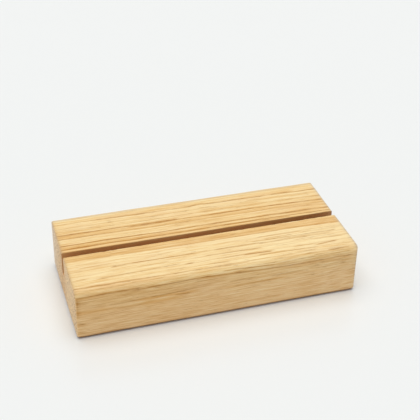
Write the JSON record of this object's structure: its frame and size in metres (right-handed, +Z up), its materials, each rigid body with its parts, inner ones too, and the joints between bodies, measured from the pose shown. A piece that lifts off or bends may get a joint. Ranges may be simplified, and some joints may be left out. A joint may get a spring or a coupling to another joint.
{
  "type": "place card holder",
  "caption": "Solid wooden block with a straight slot along its top that holds a place card, photo or small sign upright on a table.",
  "frame": {"origin": "middle of the underside, on the surface that the block stands on", "axes": "+X along the block, with the grain and the slot; -Y towards the front, where the top edge is rounded over; +Z up"},
  "size_m": [0.1, 0.045, 0.019],
  "materials": {
    "ash_wood": "planed and fine-sanded pale ash, no visible varnish, low sheen"
  },
  "bodies": {
    "root": {"holder_block": "ash_wood"}
  },
  "joints": []
}
